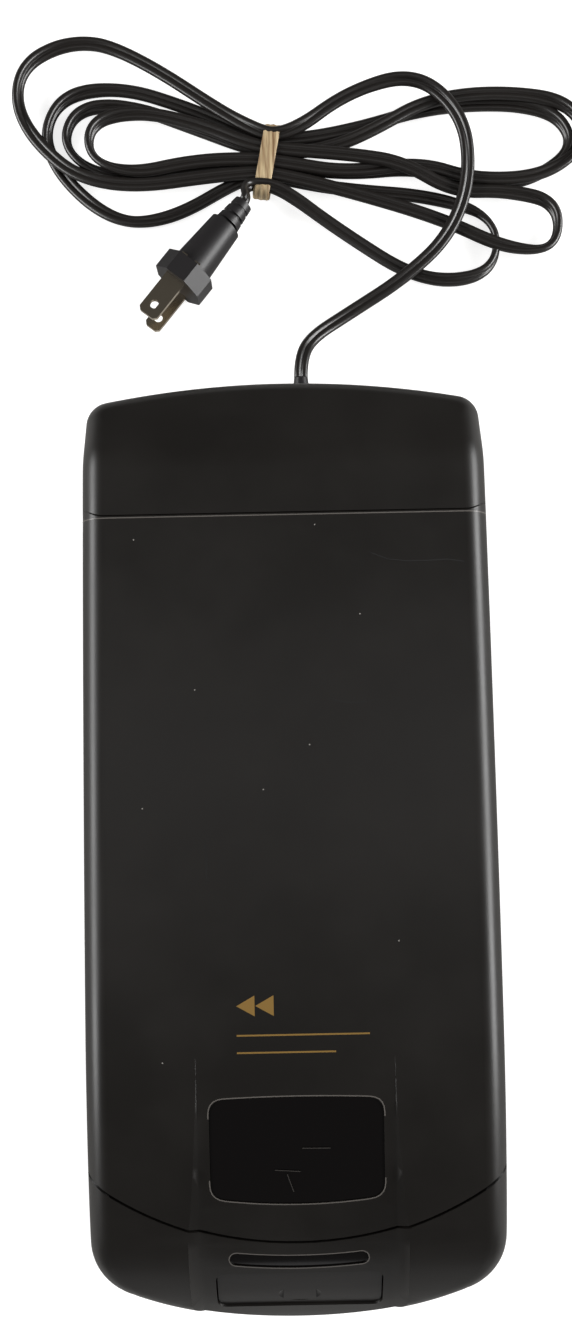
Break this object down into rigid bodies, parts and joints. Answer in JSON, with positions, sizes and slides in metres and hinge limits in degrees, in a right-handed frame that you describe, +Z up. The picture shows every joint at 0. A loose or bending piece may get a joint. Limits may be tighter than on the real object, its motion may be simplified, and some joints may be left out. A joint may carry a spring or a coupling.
{
  "type": "video cassette rewinder",
  "caption": "Black plastic video cassette rewinder with a hinged lid, smoked window, wide eject button and a tied mains lead with a two-blade plug.",
  "frame": {"origin": "middle of the footprint, on the table", "axes": "+Z up, the front edge with the button faces -Y, the mains lead leaves the rear wall at +Y, +X is to the right seen from the front"},
  "size_m": [0.2132, 0.4431, 0.07],
  "materials": {
    "shell": "fine sparked texture, satin",
    "window_smoke": "gloss smoked acrylic",
    "inner_plastic": "matt moulded",
    "feet_rubber": "matt",
    "cord_pvc": "satin soft pvc",
    "tie_rubber": "matt natural rubber",
    "plated_steel": "zinc plated",
    "bronze": "sintered",
    "blade_metal": "nickel plated",
    "board": "phenolic board"
  },
  "bodies": {
    "casing": {"base_tub": "shell", "board_capacitor": "board", "board_diodes": "bronze", "brake_release_pin": "inner_plastic", "button_spring": "plated_steel", "case_screws": "plated_steel", "cassette_deck": "inner_plastic", "circuit_board": "board", "cord_grommet": "cord_pvc", "cord_hank": "cord_pvc", "cord_lead": "cord_pvc", "drive_belt": "feet_rubber", "drive_bush": "bronze", "drive_motor": "plated_steel", "hank_tie": "tie_rubber", "hinge_pins": "plated_steel", "idler_bush": "bronze", "indicator_lens": "window_smoke", "lid_switch": "inner_plastic", "motor_plate": "plated_steel", "motor_screws": "plated_steel", "plug_blades": "blade_metal", "plug_body": "cord_pvc", "power_led": "inner_plastic", "rear_cover": "shell", "rubber_feet": "feet_rubber", "small_screws": "plated_steel", "transformer_coil": "inner_plastic", "transformer_core": "plated_steel", "transformer_strap": "plated_steel"},
    "lid": {"lid_shell": "shell", "lid_window": "window_smoke", "hold_down_springs": "plated_steel", "spring_rivets": "plated_steel"},
    "button": {"eject_button": "shell"},
    "slider": {"latch_slider": "inner_plastic"},
    "drive_reel": {"drive_spindle": "inner_plastic", "drive_pulley": "inner_plastic"},
    "idler_reel": {"idler_spindle": "inner_plastic", "idler_clip": "plated_steel"},
    "rotor": {"motor_pulley": "bronze"},
    "lever": {"switch_lever": "plated_steel"}
  },
  "joints": [
    {"name": "lid_hinge", "type": "hinge", "parent": "casing", "child": "lid", "pos_m": [0, 0.0947, 0.0626], "axis": [-1, 0, 0], "range_deg": [0, 55]},
    {"name": "button_travel", "type": "slide", "parent": "casing", "child": "button", "axis": [0, 0.7071, -0.7071], "range_m": [0, 0.0025], "stiffness_N_per_m": 350, "springref_m": -0.003, "deforming": ["button_spring"]},
    {"name": "slider_travel", "type": "slide", "parent": "casing", "child": "slider", "axis": [0, 1, 0], "range_m": [0, 0.00177]},
    {"name": "drive_turn", "type": "hinge", "parent": "casing", "child": "drive_reel", "pos_m": [0.0035, 0.0455, 0.02], "axis": [0, 0, 1], "continuous": true},
    {"name": "idler_turn", "type": "hinge", "parent": "casing", "child": "idler_reel", "pos_m": [0.0035, -0.0465, 0.02], "axis": [0, 0, 1], "continuous": true},
    {"name": "rotor_turn", "type": "hinge", "parent": "casing", "child": "rotor", "pos_m": [-0.0295, 0.0055, 0.01], "axis": [0, 0, 1], "continuous": true},
    {"name": "lever_tilt", "type": "hinge", "parent": "casing", "child": "lever", "pos_m": [-0.0324, -0.103, 0.049], "axis": [0, -1, 0], "range_deg": [0, 8]}
  ],
  "couplings": [
    {"joint": "slider_travel", "follows": "button_travel", "ratio": 0.70711},
    {"joint": "rotor_turn", "follows": "drive_turn", "ratio": 7.4615},
    {"joint": "lever_tilt", "follows": "lid_hinge", "ratio": 0.14546}
  ]
}
